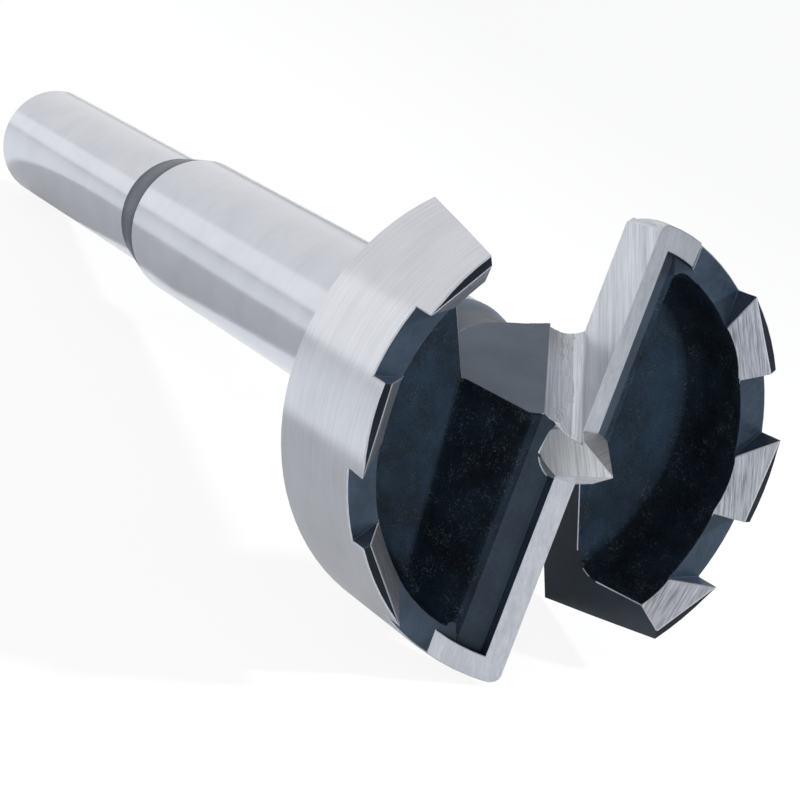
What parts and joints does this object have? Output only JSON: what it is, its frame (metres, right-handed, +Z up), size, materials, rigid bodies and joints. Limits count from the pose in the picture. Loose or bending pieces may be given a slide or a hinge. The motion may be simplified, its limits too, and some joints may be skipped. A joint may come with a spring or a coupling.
{
  "type": "forstner bit",
  "caption": "Wood boring bit with a plain round shank, a toothed rim cut by two chip openings, two radial cutting lips and a four-sided centre point.",
  "frame": {"origin": "bottom centre of the box around the bit as it lies at rest", "axes": "+Z up, +X along the bit towards its cutting end, with the bit's own axis rising 6.6 degrees towards the head"},
  "size_m": [0.0962, 0.032, 0.0311],
  "materials": {
    "tool_steel": "ground bright outside, dark scaled inside the head"
  },
  "bodies": {
    "root": {"forstner_bit": "tool_steel"}
  },
  "joints": []
}
